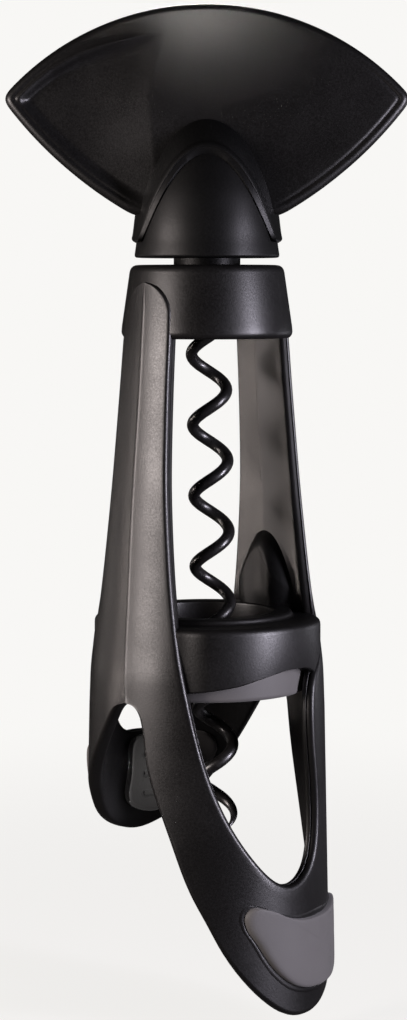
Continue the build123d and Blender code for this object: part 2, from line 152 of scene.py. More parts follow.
def spline(knots, samples):
    """Natural cubic spline through knots at the given knot numbers, which may be fractions.

    The curve's parameter is the summed chord length after EDGE_SCALE, so spacing stays even.
    """
    knots = np.asarray(knots, float)
    last = len(knots) - 1
    lengths = np.linalg.norm(np.diff(knots, axis=0) * EDGE_SCALE, axis=1)
    place = np.concatenate([[0.0], np.cumsum(lengths)])
    gap = np.diff(place)
    matrix = np.eye(last + 1)
    inner = np.arange(1, last)
    matrix[inner, inner - 1] = gap[:-1]
    matrix[inner, inner] = 2 * (gap[:-1] + gap[1:])
    matrix[inner, inner + 1] = gap[1:]
    slope = np.diff(knots, axis=0) / gap[:, None]
    force = np.zeros_like(knots)
    force[1:-1] = 6 * np.diff(slope, axis=0)
    bend = np.linalg.solve(matrix, force)
    at = np.interp(samples, np.arange(last + 1), place)
    k = np.clip(np.searchsorted(place, at, side="right") - 1, 0, last - 1)
    width = gap[k][:, None]
    before = (at - place[k])[:, None]
    after = width - before
    curve = (bend[k] * after**3 + bend[k + 1] * before**3) / (6 * width)
    curve += (knots[k] / width - bend[k] * width / 6) * after
    return curve + (knots[k + 1] / width - bend[k + 1] * width / 6) * before


def marked_line(knots, marks, rows):
    """Spline through knots with a set number of even rows between each pair of marked knots."""
    runs = [np.linspace(a, b, n, endpoint=False) for a, b, n in zip(marks, marks[1:], rows)]
    return spline(knots, np.concatenate(runs + [[marks[-1]]]))


def around(bearing, radius, height):
    """Points at a bearing in degrees, a radius and a height: x = r sin b, y = -r cos b."""
    angle = np.radians(bearing)
    x = radius * np.sin(angle)
    y = -radius * np.cos(angle)
    return np.stack(np.broadcast_arrays(x, y, height), axis=-1)


def half_turn(points):
    """The same points turned 180 degrees round Z."""
    return points * (-1, -1, 1)


def lay(name, *grids):
    """One mesh object from grids of points: rows x columns x 3, and whether each way is closed.

    Quads join each point with its next row and next column; doubles are merged,
    so poles and seams close, and the faces are turned outwards.
    """
    points, quads, start = [], [], 0
    for grid, row_loop, column_loop in grids:
        rows, columns = grid.shape[:2]
        number = start + np.arange(rows * columns).reshape(rows, columns)
        if row_loop:
            number = np.concatenate([number, number[:1]])
        if column_loop:
            number = np.concatenate([number, number[:, :1]], axis=1)
        corners = [number[:-1, :-1], number[:-1, 1:], number[1:, 1:], number[1:, :-1]]
        quads.append(np.stack(corners, axis=-1).reshape(-1, 4))
        points.append(grid.reshape(-1, 3))
        start += rows * columns
    mesh = bpy.data.meshes.new(name)
    mesh.from_pydata((np.concatenate(points) * MM).tolist(), [], np.concatenate(quads).tolist())
    shape = bmesh.new()
    shape.from_mesh(mesh)
    bmesh.ops.remove_doubles(shape, verts=shape.verts, dist=2e-6)
    bmesh.ops.dissolve_degenerate(shape, edges=shape.edges, dist=1e-6)
    bmesh.ops.recalc_face_normals(shape, faces=shape.faces)
    shape.to_mesh(mesh)
    shape.free()
    mesh.polygons.foreach_set("use_smooth", np.ones(len(mesh.polygons), bool))
    mesh.set_sharp_from_angle(angle=math.radians(CREASE_ANGLE))
    piece = bpy.data.objects.new(name, mesh)
    bpy.context.scene.collection.objects.link(piece)
    return piece


def dress(piece, material, slot_name, *nodes, body=None):
    """Gives a piece its finish, hides the nodes it stands for and hangs it on its body. slot_name is
    not used.
    """
    piece.data.materials.clear()
    piece.data.materials.append(material)
    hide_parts(*nodes)
    if body:
        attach(piece, body)
    return piece


def rounded(corners):
    """Profile with round corners: each corner is (u, v, radius), replaced by a quadratic arc.

    The arc starts and ends one radius from the corner along its two sides.
    """
    corners = np.asarray(corners, float)
    spot = corners[:, :2]
    to_before = np.roll(spot, 1, axis=0) - spot
    to_after = np.roll(spot, -1, axis=0) - spot
    reach = corners[:, 2:]
    start = spot + to_before / np.linalg.norm(to_before, axis=1, keepdims=True) * reach
    end = spot + to_after / np.linalg.norm(to_after, axis=1, keepdims=True) * reach
    t = np.linspace(0, 1, ARC_STEPS)[None, :, None]
    arcs = (1 - t) ** 2 * start[:, None] + 2 * t * (1 - t) * spot[:, None] + t**2 * end[:, None]
    return arcs.reshape(-1, 2)


def revolved(profile, columns=144):
    """Closed (radius, height) profile carried round Z."""
    bearing = np.linspace(0, 360, columns, endpoint=False)[:, None]
    return around(bearing, profile[None, :, 0], profile[None, :, 1]), True, True


def new_finish(name):
    """Starts a finish: its material, node tree and shader, and the piece's own coordinates."""
    material = bpy.data.materials.new(name)
    material.use_nodes = True
    tree = material.node_tree
    place = add_node(tree, "ShaderNodeTexCoord").outputs["Object"]
    return material, tree, tree.nodes["Principled BSDF"], place


def shade(colour, share):
    """The colour made darker or lighter by a share, as RGBA."""
    return (*[min(1.0, share * c) for c in colour], 1)


def moulded_nylon(name, colour, roughness, grain, relief, ior=1.5):
    """Nylon, injection moulded in a spark-eroded tool.

    The tool's craters leave a fine even grain, some spots duller than others, so the
    black reads as dull grey in the light and has no mirror. Grain and relief in mm; the
    real grain is near 0.05 mm and is drawn coarser to show.
    """
    material, tree, shader, place = new_finish(name)
    craters = add_node(
        tree,
        "ShaderNodeTexNoise",
        inputs={"Scale": 1 / (grain * MM), "Detail": 3.0, "Roughness": 0.6},
        links={"Vector": place},
    )
    cloud = add_node(
        tree,
        "ShaderNodeTexNoise",
        inputs={"Scale": 1 / (14 * MM), "Detail": 2.0},
        links={"Vector": place},
    )
    tint = add_node(
        tree,
        "ShaderNodeMix",
        settings={"data_type": "RGBA"},
        inputs={6: shade(colour, 0.82), 7: shade(colour, 1.22)},
        links={0: craters.outputs["Fac"]},
    )
    # The craters add their share of roughness, whose middle is taken off the clouds' first
    crater_share = 0.3
    middle = roughness - crater_share / 2
    matt = add_node(
        tree,
        "ShaderNodeMapRange",
        inputs={"From Min": 0.3, "From Max": 0.7, "To Min": middle - 0.05, "To Max": middle + 0.05},
        links={"Value": cloud.outputs["Fac"]},
    )
    glint = add_node(
        tree,
        "ShaderNodeMath",
        settings={"operation": "MULTIPLY_ADD"},
        inputs={1: crater_share},
        links={0: craters.outputs["Fac"], 2: matt.outputs["Result"]},
    )
    bump = add_node(
        tree,
        "ShaderNodeBump",
        inputs={"Strength": 0.55, "Distance": relief * MM},
        links={"Height": craters.outputs["Fac"]},
    )
    tree.links.new(tint.outputs[2], shader.inputs["Base Color"])
    tree.links.new(glint.outputs[0], shader.inputs["Roughness"])
    tree.links.new(bump.outputs["Normal"], shader.inputs["Normal"])
    shader.inputs["IOR"].default_value = ior
    return material


def soft_elastomer(colour):
    """Thermoplastic elastomer, overmoulded: matt grey with a dusty bloom and a faint silk.

    The real silk is finer and is drawn 0.3 mm wide to show.
    """
    material, tree, shader, place = new_finish("grey_elastomer_moulded")
    bloom = add_node(
        tree,
        "ShaderNodeTexNoise",
        inputs={"Scale": 1 / (5 * MM), "Detail": 4.0, "Roughness": 0.55},
        links={"Vector": place},
    )
    silk = add_node(
        tree,
        "ShaderNodeTexNoise",
        inputs={"Scale": 1 / (0.3 * MM), "Detail": 2.0},
        links={"Vector": place},
    )
    tint = add_node(
        tree,
        "ShaderNodeMix",
        settings={"data_type": "RGBA"},
        inputs={6: shade(colour, 0.9), 7: shade(colour, 1.1)},
        links={0: bloom.outputs["Fac"]},
    )
    bump = add_node(
        tree,
        "ShaderNodeBump",
        inputs={"Strength": 0.3, "Distance": 0.02 * MM},
        links={"Height": silk.outputs["Fac"]},
    )
    tree.links.new(tint.outputs[2], shader.inputs["Base Color"])
    tree.links.new(bump.outputs["Normal"], shader.inputs["Normal"])
    shader.inputs["Roughness"].default_value = 0.62
    shader.inputs["IOR"].default_value = 1.48
    shader.inputs["Sheen Weight"].default_value = 0.15
    shader.inputs["Sheen Roughness"].default_value = 0.5
    return material


def coated_wire(colour):
    """Hardened steel wire under a black low-friction coating, sprayed and baked.

    Satin black with a slightly uneven film.
    """
    material, tree, shader, place = new_finish("coated_wire_black")
    film = add_node(
        tree,
        "ShaderNodeTexNoise",
        inputs={"Scale": 1 / (1.6 * MM), "Detail": 5.0, "Roughness": 0.65},
        links={"Vector": place},
    )
    tint = add_node(
        tree,
        "ShaderNodeMix",
        settings={"data_type": "RGBA"},
        inputs={6: shade(colour, 0.6), 7: shade(colour, 1.6)},
        links={0: film.outputs["Fac"]},
    )
    matt = add_node(
        tree,
        "ShaderNodeMapRange",
        inputs={"From Min": 0.35, "From Max": 0.65, "To Min": 0.24, "To Max": 0.42},
        links={"Value": film.outputs["Fac"]},
    )
    bump = add_node(
        tree,
        "ShaderNodeBump",
        inputs={"Strength": 0.25, "Distance": 0.03 * MM},
        links={"Height": film.outputs["Fac"]},
    )
    tree.links.new(tint.outputs[2], shader.inputs["Base Color"])
    tree.links.new(matt.outputs["Result"], shader.inputs["Roughness"])
    tree.links.new(bump.outputs["Normal"], shader.inputs["Normal"])
    shader.inputs["IOR"].default_value = 1.6
    return material


def finish(name, scene):
    """Returns the named finish, made once from the scene's sizes and colours."""
    made = bpy.data.materials.get(name)
    if made:
        return made
    sizes, colours = scene.corkscrew_sizes, scene.corkscrew_colours
    if name == "nylon_grained":
        return moulded_nylon(name, colours.nylon, sizes.nylon_roughness, sizes.grain / MM, 0.03)
    # The finer-grained nylon: its darker colour and lower IOR are painted shade for the bell, hub,
    # guides, washer and clip, which sit in shade
    if name == "nylon_fine_painted_shade":
        return moulded_nylon(name, colours.hub, sizes.hub_roughness, 0.3, 0.02, ior=1.32)
    if name == "grey_elastomer_moulded":
        return soft_elastomer(colours.elastomer)
    if name == "coated_wire_black":
        return coated_wire(colours.wire)
    raise RuntimeError("no finish named " + name)


def band_face(height):
    """Outer radius of arms and legs: a lean to the collar, a soft shoulder at the ring, a flare.

    Straight runs between levels, smoothed by a running mean about 6 mm long.
    """
    level = np.arange(-80, 100, 0.25)
    radius = np.interp(level, BAND_LEVELS, BAND_RADII)
    soft = np.hanning(25)
    radius = np.convolve(np.pad(radius, 12, mode="edge"), soft / soft.sum(), mode="valid")
    return np.interp(height, level, radius)


def arm_edge(height, side):
    """Bearing of an arm's edge: centre plus the angle whose sine is half width over radius."""
    half = np.interp(height, ARM_LEVELS, ARM_HALF_WIDTHS)
    return ARM_BEARING + side * np.degrees(np.arcsin(half / band_face(height)))


def arm_fill(bearing, height):
    """Extra wall that flattens an arm's inside above the ring, and the share the wall loses.

    The extra is the sagitta of the half width; the wall thins evenly from the middle to
    the edge at the lower bearing, which turns the flat inside towards the front.
    """
    off = np.radians((bearing - ARM_BEARING + 90) % 180 - 90)
    inside = band_face(height) - WALL
    half = np.interp(height, ARM_LEVELS, ARM_HALF_WIDTHS)
    side = np.clip(inside * np.sin(off), -half, half)
    above = np.clip((height - 11) / 4, 0, 1)
    return above * (half**2 - side**2) / (2 * inside), above * 0.5 * np.clip(-side / half, 0, 1)


# Angles round an arm's head, and levels down its side
HEAD_SWING = (0, 25, 50, 75, 90)
SIDE_LEVELS = (62, 50, 39.5, 28, 20, 12.5, 6)


def arm_knots(side, levels):
    """Edge of an arm as (bearing, height) knots: the round head first, then the side downwards."""
    swing = np.radians(HEAD_SWING)
    height = ARM_HEAD - ARM_HEAD_RADIUS * (1 - np.cos(swing))
    half = ARM_HEAD_RADIUS * np.sin(swing)
    head = ARM_BEARING + side * np.degrees(np.arcsin(half / band_face(height)))
    levels = np.asarray(levels, float)
    flank = np.stack([arm_edge(levels, side), levels], 1)
    return np.concatenate([np.stack([head, height], 1), flank])


def ribbon(inner, outer, free, groove):
    """Moulded wall between two edge lines, as a closed section carried along them.

    Rows pair a point of the inner edge line with one of the outer line. Across a
    row the section runs over the outer face, round the inner edge with its fine
    groove, back along the inside and round the outer edge. free is 1 where the
    outer line is a free edge and near 0 where it is a mould seam, which stands up a hair.
    """
    width = np.linalg.norm((inner - outer) * EDGE_SCALE, axis=1)[:, None]
    quarter = np.radians(np.linspace(0, 90, ARC_STEPS))
    curl, drop = 1 - np.sin(quarter), 1 - np.cos(quarter)
    front_round, back_round, fill_start = 0.95, 0.6, 1.6
    # Inner edge: round, groove, wall, small round. Offsets back from the edge, then depths.
    groove_back = groove * np.array((0, 1, 1, 0, 0))
    groove_deep = (1.0, 1.16, 1.36, 1.52, 1.9)
    in_back = np.concatenate([front_round * curl, groove_back, back_round * drop])
    in_deep = np.concatenate([front_round * drop, groove_deep, WALL - back_round * curl])
    # Outer edge: small round, then the round up to the face
    out_back = np.concatenate([back_round * curl, front_round * curl[::-1]])
    out_deep = np.concatenate([WALL - back_round * drop, front_round * drop[::-1]])
    squeeze = np.clip(width / 6, 0, 1)
    right = width - in_back[None] * squeeze
    left = out_back[None] * squeeze * free[:, None]
    share = np.linspace(0, 1, 18)[None, 1:-1]
    flash = np.array((0.1, 0.24, 0.4))[None] * squeeze
    face = left[:, -1:] + (right[:, :1] - left[:, -1:]) * share
    face = np.concatenate([left[:, -1:] + flash, face], axis=1)
    back = right[:, -1:] + (left[:, :1] - right[:, -1:]) * share
    along = np.concatenate([face, right, back, left], axis=1) / np.maximum(width, 1e-6)
    depth = np.concatenate([0 * flash[0], 0 * share[0], in_deep, 0 * share[0] + WALL, out_deep])
    depth = depth[None] + 0 * width
    seam = (1 - free[:, None]) * np.clip(width / 4, 0, 1)
    depth[:, :3] = -SEAM_RISE * seam * (1, 0.75, 0.2)
    depth[:, -1:] = depth[:, -1:] * free[:, None] - SEAM_RISE * seam
    place = outer[:, None, :] + (inner - outer)[:, None, :] * along[..., None]
    fill = np.clip((depth - fill_start) / (WALL - fill_start), 0, 1)
    extra, thin = arm_fill(place[..., 0], place[..., 1])
    radius = band_face(place[..., 1]) - depth * (1 - thin) - fill * extra
    return around(place[..., 0], radius, place[..., 1])


# Rows of a band between its paired knots, and rows over which a seam becomes a free edge
BAND_ROWS = (12, 34, 12, 10, 12, 14, 16, 12, 12, 12, 12, 26, 12)
FREE_FADE = 7


def frame_band(window, gap, gap_marks, groove):
    """U-shaped half of the frame: down half an arm, along a leg, round the jaw's tip and up again.

    window and gap are the leg's two edge lines as (bearing, height) knots. The first knots
    of the window pair up with the marked knots of the gap. Both start and end on the arms.
    """
    left = arm_knots(1, SIDE_LEVELS)
    right = arm_knots(-1, SIDE_LEVELS[:-2])[::-1] + (180, 0)
    knots = np.concatenate([left, window, right])
    first, last, head = len(left), len(knots) - 1, len(HEAD_SWING) - 1
    paired = range(first, first + len(gap_marks))
    inner = marked_line(knots, [0, head, *paired, first + len(window), last - head, last], BAND_ROWS)
    ridge = [(ARM_BEARING, ARM_HEAD), (-47.2, 70), (-46.6, 40), (-45.2, 15), gap[0]]
    rise = [gap[-1], (134.8, 20), (133.4, 40), (132.8, 70), (ARM_BEARING + 180, ARM_HEAD)]
    turn = len(gap_marks) + 1
    fore = marked_line(ridge, (0, 1, 4), BAND_ROWS[:2])
    middle = marked_line(gap, gap_marks, BAND_ROWS[2:turn])
    aft = marked_line(rise, (0, 1, 3, 4), BAND_ROWS[turn:])
    outer = np.concatenate([fore[:-1], middle[:-1], aft])
    count = np.arange(len(outer))
    begin, end = len(fore) - 1, len(fore) + len(middle) - 2
    free = np.clip(np.minimum(count - begin, end - count) / FREE_FADE, 0.04, 1)
    return ribbon(inner, outer, free, groove)


# Edge lines of the two legs as (bearing, height), with the gap's knots that pair up
FRONT_WINDOW = np.array(
    [
        *((-9.5, 0.2), (-0.5, -13.4), (8.3, -21.8), (22.7, -30.6), (43, -36.2), (58, -33.4)),
        *((65, -26.4), (63.4, -14), (61.6, -4), (64.5, 0.8), (74, 4.6), (87, 8.2), (96.5, 12.2)),
    ]
)
FRONT_GAP = np.array(
    [
        *((-42.6, -1.9), (-38, -2.4), (-33.8, -5.2), (-30.8, -12.4), (-22.7, -22), (-16.8, -27.9)),
        *((-7.9, -36.6), (-0.6, -41.9), (7.5, -47.7), (19.3, -53.8), (31.8, -58.3), (43.3, -60.7)),
        *((51, -61.1), (59, -60.9), (69, -59.7), (81, -57), (93, -52.6), (101, -47.5)),
        *((106.5, -42), (114, -33.5), (121, -23.7), (128.6, -8.4), (132.8, -3), (137.4, -1.9)),
    ]
)
FRONT_GAP_MARKS = (0, 3, 5, 8, 12, 16, 18, 20, 23)
BACK_WINDOW = np.array(
    [
        *((-9.5, 0.2), (-2, -3.4), (8, -6.8), (25, -11.2), (43, -12.9), (56, -11)),
        *((62, -6.4), (62.2, -3.8), (63, -1.2), (67, 2), (76, 5.2), (88, 8.6), (96.5, 12.2)),
    ]
)
BACK_GAP = np.array(
    [
        *((-42.6, -1.9), (-37.5, -2.6), (-32, -5.5), (-25.5, -9.8), (-18.5, -14.3), (-10.5, -19)),
        *((-2.2, -23.1), (8, -26.9), (26, -31.1), (41, -32.4), (56, -31.1), (72, -27.4), (83, -23.1)),
        *((94, -19.4), (104, -15.8), (114, -11.4), (126, -5.4), (132, -2.8), (137.4, -1.9)),
    ]
)
BACK_GAP_MARKS = (0, 2, 4, 6, 9, 12, 14, 16, 18)

# Rise of the ring's lower edge over a window, by bearing, the same on both sides
ARCH_BEARINGS = (-9, 16, 30, 44, 61, 75, 100, 140, 171, 196)
ARCH_RISES = (0.4, 1.7, 3.2, 4.2, 3.9, 1.5, 0, 0, 0.4, 1.7)


def neck_ring():
    """Ring round the bottle's lip: a rounded profile whose lower edge arches up over each window.

    Towards the arms, which cover it, the ring's outer face eases in.
    """
    bearing = np.linspace(0, 360, 360, endpoint=False)
    foot = np.interp(bearing % 180, ARCH_BEARINGS, ARCH_RISES)
    soft = np.hanning(21)
    foot = np.convolve(np.pad(foot, 10, mode="wrap"), soft / soft.sum(), mode="valid")
    profile = rounded(
        [
            (LINER_RADIUS, 0, 0.4),
            (RING_RADIUS, 0, 0.5),
            (RING_RADIUS, RING_TOP, 1.5),
            (RIM_RADIUS + 0.4, RING_TOP, 0.5),
            (RIM_RADIUS, RIM_TOP, 0.5),
            (CORK_HOLE_RADIUS, RIM_TOP, 0.5),
            (CORK_HOLE_RADIUS, STOP_LEVEL, 0.3),
            (NECK_RADIUS - 0.2, STOP_LEVEL, 0.2),
            (NECK_RADIUS - 0.2, SEAT_LEVEL, 0.1),
            (LINER_RADIUS, SEAT_LEVEL, 0.1),
        ]
    )
    radius, height = profile[None, :, 0], profile[None, :, 1]
    lift_height, ease_depth, ease_start, ease_width = 6, 0.85, 50, 15
    lift = np.clip(1 - height / lift_height, 0, 1) * (radius > NECK_RADIUS)
    off = np.abs((bearing - ARM_BEARING + 90) % 180 - 90)[:, None]
    under = np.clip((ease_start - off) / ease_width, 0, 1)
    ease = ease_depth * under**2 * (3 - 2 * under)
    radius = radius - ease * (radius > RING_RADIUS - 2)
    return around(bearing[:, None], radius, height + foot[:, None] * lift), True, True


def tongue():
    """Guide on an arm's inner face, as a closed shell.

    Its foot is a parabola on the arm, z = 28.5 - 0.21 u2, and its crest a narrower one,
    z = 24.1 - 0.42 u2, both with upright legs. Rows follow these outlines; columns run
    over the back, up the sloped flank and across the upright crest.
    """
    foot_half, crest_half = 7.6, 2.8
    sunk, back_gap, mean_radius = 0.3, 0.9, 17
    q = np.linspace(-1, 1, 61)
    low = np.array((11.0, 13.0, 15.0))
    across = np.concatenate([0 * low - 1, q, 0 * low + 1])
    foot_z = np.concatenate([low, 28.5 - 0.21 * (foot_half * q) ** 2, low[::-1]])
    crest_z = np.concatenate([low, 24.1 - 0.42 * (crest_half * q) ** 2, low[::-1]])
    up = np.array((0, 0, 0, 0.15, 0.3, 0.5, 0.7, 0.85, 0.95, 1, 1, 1, 1))[None]
    wide = np.array((0, 1, 1, 1, 1, 1, 1, 1, 1, 1, 0.66, 0.33, 0))[None]
    u = across[:, None] * (foot_half * (1 - up) + crest_half * up) * wide
    z = foot_z[:, None] * (1 - up) + crest_z[:, None] * up
    extra, thin = arm_fill(ARM_BEARING + np.degrees(u / mean_radius), z)
    inside = band_face(z) - WALL * (1 - thin) - extra + sunk
    face = inside + (TONGUE_RADIUS - inside) * np.sin(up * np.pi / 2) ** 1.15
    radius = face + back_gap * np.array((1, 1) + (0,) * 11)[None]
    u = np.concatenate([0 * u[:1], u, 0 * u[-1:]])
    z = np.concatenate([z[:1], z, z[-1:]])
    radius = np.concatenate([radius[:1], radius, radius[-1:]])
    return around(ARM_BEARING + np.degrees(np.arcsin(u / radius)), radius, z), False, False


def liner_profile():
    """Soft sleeve in the ring: a plain tube with round lips."""
    return rounded(
        [
            (NECK_RADIUS, LINER_FOOT, 0.9),
            (LINER_RADIUS - 0.05, LINER_FOOT, 0.9),
            (LINER_RADIUS - 0.05, SEAT_LEVEL, 0.1),
            (NECK_RADIUS, SEAT_LEVEL, 0.1),
        ]
    )


def collar_profile():
    """Tapered cap with round edges, a fine step round its foot and the spindle's bore."""
    inside, top_wall = 11.5, 4
    return rounded(
        [
            (inside, COLLAR_FOOT, 0.4),
            (16.1, COLLAR_FOOT, 0.5),
            (16.7, COLLAR_FOOT + 0.9, 0.5),
            (16.6, COLLAR_FOOT + 2.2, 0.5),
            (14.9, COLLAR_TOP, 1.5),
            (BORE_RADIUS, COLLAR_TOP, 0.2),
            (BORE_RADIUS, COLLAR_TOP - top_wall, 0.2),
            (inside, COLLAR_TOP - top_wall, 0.8),
        ]
    )


def dome_radius(height, foot, top):
    """Radius of the hub's round top: full at the skirt, then closing like a bell to the top.

    The share of the foot's radius is a smooth curve through a few levels.
    """
    t = np.clip((height - SKIRT_TOP) / (top - SKIRT_TOP), 0, 1)
    knots_t = (0, 0.12, 0.24, 0.36, 0.5, 0.63, 0.76, 0.86, 0.93, 0.97, 0.99, 1)
    knots_r = (1, 0.985, 0.955, 0.91, 0.83, 0.735, 0.615, 0.475, 0.34, 0.22, 0.13, 0)
    fine = spline(np.stack([knots_t, knots_r], 1), np.linspace(0, len(knots_t) - 1, 400))
    return foot * np.clip(np.interp(t, np.maximum.accumulate(fine[:, 0]), fine[:, 1]), 0, 1)


def hub_profile():
    """Spindle, skirt with a round foot and the cone that rises from it, from axis to axis."""
    level = SKIRT_TOP + (CONE_TOP - SKIRT_TOP) * np.sin(np.linspace(0, np.pi / 2, 48))
    cone = np.stack([dome_radius(level, CONE_RADIUS, CONE_TOP), level], 1)
    stem = rounded(
        [
            (0.01, SPINDLE_FOOT, 0.005),
            (SPINDLE_RADIUS, SPINDLE_FOOT, 0.4),
            (SPINDLE_RADIUS, HUB_FOOT, 0.2),
            (14.2, HUB_FOOT, 0.7),
            (13.8, SKIRT_TOP - 0.6, 0.4),
        ]
    )
    return np.concatenate([stem[ARC_STEPS : 1 - ARC_STEPS], cone, stem[:ARC_STEPS]])


def grip_outline(count=1440):
    """Fan outline (x, z): a circular crown, two bulging lower edges and a short foot.

    Points are evenly spaced, and the corners are rounded by a running mean along the
    closed line.
    """
    half, end, top, foot, foot_half, bow = 39.85, 113.0, 131.4, 90.2, 14.0, 1.9
    rise = top - end
    radius = (half**2 + rise**2) / (2 * rise)
    sweep = np.linspace(-1, 1, 200) * np.arcsin(half / radius)
    crown = np.stack([radius * np.sin(sweep), top - radius * (1 - np.cos(sweep))], 1)
    t = np.linspace(0, 1, 120)[1:]
    length = np.hypot(half - foot_half, end - foot)
    bulge = 4 * bow * t * (1 - t)
    lower_x = half + (foot_half - half) * t + bulge * (end - foot) / length
    lower_z = end + (foot - end) * t - bulge * (half - foot_half) / length
    right = np.stack([lower_x, lower_z], 1)
    left = right[::-1] * (-1, 1)
    closed = np.concatenate([crown, right, left[:-1], crown[:1]])
    place = np.concatenate([[0], np.cumsum(np.linalg.norm(np.diff(closed, axis=0), axis=1))])
    at = np.linspace(0, place[-1], count, endpoint=False)
    soft = np.hanning(59)
    soft = soft / soft.sum()
    smooth = []
    for axis in (0, 1):
        even = np.interp(at, place, closed[:, axis])
        smooth.append(np.convolve(np.pad(even, 29, mode="wrap"), soft, mode="valid"))
    return np.stack(smooth, 1)


# Crest above the thumb recess, and the recess's edge towards the middle
RIDGE_X = (-40, -36.2, -33, -29.9, -24.9, -19.9, -11.9, -7.4, 0)
RIDGE_Z = (109.8, 113.6, 116.6, 119.0, 121.6, 123.3, 125.2, 125.7, 125.9)
BRINK_Z = (90, 104, 113, 119, 126)
BRINK_X = (-9.4, -10.4, -11.2, -10.2, -7.6)


def grip_shell(sizes):
    """Front half of the grip's blade as a height field over the fan outline, closed at the back.

    The outline shrinks to its middle by the first parameter. Height is half the
    thickness, thinner towards the crown, with a round rim, less a thumb recess left of
    the middle, which has a raised crest above it, and a fine groove along the lower rim.
    """
    outline = grip_outline()
    line = outline[::4]
    middle = np.array((0, GRIP_MIDDLE))
    shrink = np.concatenate([np.linspace(0, 0.8, 56), np.linspace(0.8, 1, 34)[1:]])[:, None, None]
    flat = middle + shrink * (line - middle)
    x, z = flat[..., 0], flat[..., 1]
    reach = [np.linalg.norm(row[:, None] - outline[None], axis=-1).min(axis=1) for row in flat]
    inset = np.array(reach) * (shrink[..., 0] < 1)
    half_thick, crown_loss, side_loss = 5.5, 2.1, 1.2
    crown = np.clip(z - 98, 0, 40) / 33
    height = half_thick - crown_loss * crown**1.9 - side_loss * (x / 38) ** 2
    edge = np.clip(inset / RIM_ROUND, 0, 1)
    height = height - RIM_ROUND * (1 - np.sqrt(np.clip(1 - (1 - edge) ** 2, 0, 1)))
    ridge = np.interp(x, RIDGE_X, RIDGE_Z)
    brink = np.interp(z, BRINK_Z, BRINK_X)
    below = np.clip((ridge - z) / np.interp(x, (-36, -10), (2.4, 3.6)), 0, 1)
    inside = np.clip((brink - x) / 15.0, 0, 1)
    clear = np.clip((inset - 1.5) / 3.0, 0, 1)
    bowl = below**2 * (3 - 2 * below) * np.sin(inside * np.pi / 2) * clear**2 * (3 - 2 * clear)
    height = height - sizes.thumb_recess / MM * bowl
    over = 0.8 * (z - ridge)
    crest = np.exp(-np.clip(over, 0, None) / 1.4) * (1 - np.clip(-over / 1.6, 0, 1)) ** 2
    height = height + sizes.crest / MM * crest * np.clip((-8 - x) / 8, 0, 1) * clear
    low = np.clip((121 - z) / 6, 0, 1) * np.clip((np.abs(x) - 13) / 5, 0, 1)
    height = height - sizes.rim_groove / MM * low * np.exp(-(((inset - 1.9) / 0.35) ** 2))
    skin = np.stack([x, -height, z], axis=-1)
    wall = np.stack([x[-1:], 0 * x[-1:], z[-1:]], axis=-1)
    return np.concatenate([skin, wall, 0 * wall + (0, 0, GRIP_MIDDLE)])


def grip_dome():
    """Front half of the bell over the hub, with a bevelled arch that shows the cone.

    Rows run along the arch, nearly a parabola, z = 1 - x2 in shares. Columns start inside
    the cone, come out to its face, climb the bevel to the arch's edge and follow the round
    bell to its outline, where the loop closes behind. The depth of the bell is that of a
    circle at each height, with a low bead along the arch's edge.
    """
    t = np.sin(np.linspace(-np.pi / 2, np.pi / 2, 161))
    rise = 1 - np.abs(t) ** 2.05
    foot = SKIRT_TOP - 0.4
    arch_half, inner_half, bevel_drop = 13.4, 12.5, 1.8
    flare_height, bead_half, bead_rise = 3.6, 0.55, 0.3
    arch = np.stack([arch_half * t, foot + (ARCH_TOP - foot) * rise], 1)
    inner_x = inner_half * t * (1 - 0.12 * rise**0.5)
    inner = np.stack([inner_x, foot + (ARCH_TOP - bevel_drop - foot) * rise], 1)
    bell_z = foot + (DOME_TOP - foot) * rise
    wide = dome_radius(bell_z, BELL_RADIUS, DOME_TOP) + 0.1
    wide = wide + 0.3 * np.clip(1 - (bell_z - foot) / flare_height, 0, 1) ** 2
    wide = wide - 0.7 * np.clip(1 - (bell_z - foot) / 0.9, 0, 1) ** 2
    bell = np.stack([np.sign(t) * wide, bell_z], 1)
    s = np.linspace(0, 1, 30)[None, :, None] ** 1.7
    flat = arch[:, None] * (1 - s) + bell[:, None] * s
    low = np.clip((SKIRT_TOP + flare_height - flat[..., 1]) / flare_height, 0, 1)
    flare = 0.4 * low**2
    radius = dome_radius(flat[..., 1], BELL_RADIUS, DOME_TOP) + flare
    depth = np.sqrt(np.maximum(radius**2 - flat[..., 0] ** 2, 0))
    lip = np.linalg.norm(flat - flat[:, :1], axis=-1)
    bead = np.sqrt(np.clip(1 - ((lip - bead_half) / bead_half) ** 2, 0, 1))
    depth = depth + bead_rise * bead * (rise[:, None] ** 0.3)
    skin = np.stack([flat[..., 0], -depth, flat[..., 1]], axis=-1)
    cone = dome_radius(inner[:, 1], CONE_RADIUS, CONE_TOP)
    hub = np.sqrt(np.maximum(cone**2 - inner[:, 0] ** 2, 0))
    on_hub = np.stack([inner[:, 0], -hub, inner[:, 1]], axis=-1)[:, None]
    edge = skin[:, :1]
    behind = [on_hub * (1, 0.5, 1), on_hub * (1, 0.93, 1)]
    bevel = [on_hub * (1 - share) + edge * share for share in (0.45, 0.88)]
    grid = np.concatenate([*behind, *bevel, skin], axis=1)
    ends = [0 * grid[i : i + 1] + grid[i].mean(axis=0) for i in (0, -1)]
    return np.concatenate([ends[0], grid, ends[1]])


